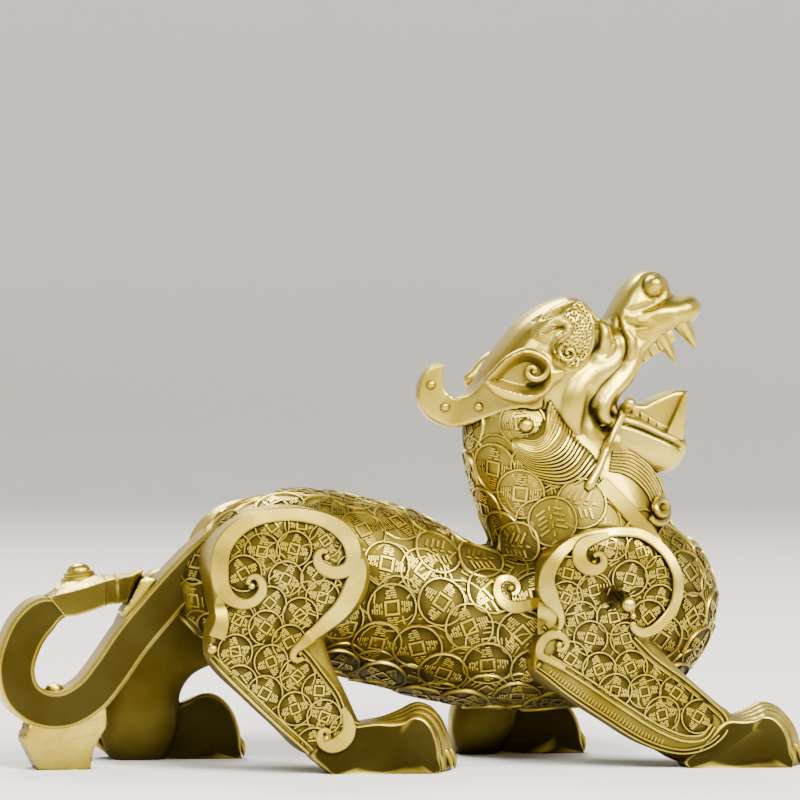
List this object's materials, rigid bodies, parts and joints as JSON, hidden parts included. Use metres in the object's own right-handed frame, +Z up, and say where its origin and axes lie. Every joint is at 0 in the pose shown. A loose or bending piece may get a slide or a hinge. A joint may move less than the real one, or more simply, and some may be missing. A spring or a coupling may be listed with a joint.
{
  "type": "pixiu figure",
  "caption": "Striding pixiu guardian figure in cast brass, head thrown up, with coin scales, scroll bands and a looped tail.",
  "frame": {"origin": "on the ground, under the middle of the figure's outline", "axes": "+X towards the head, +Y towards the animal's left side, +Z up"},
  "size_m": [0.3222, 0.108, 0.1969],
  "materials": {
    "cast_brass": "polished on the raised forms, dark antique patina in the recesses"
  },
  "bodies": {
    "root": {"pixiu_casting": "cast_brass"}
  },
  "joints": []
}
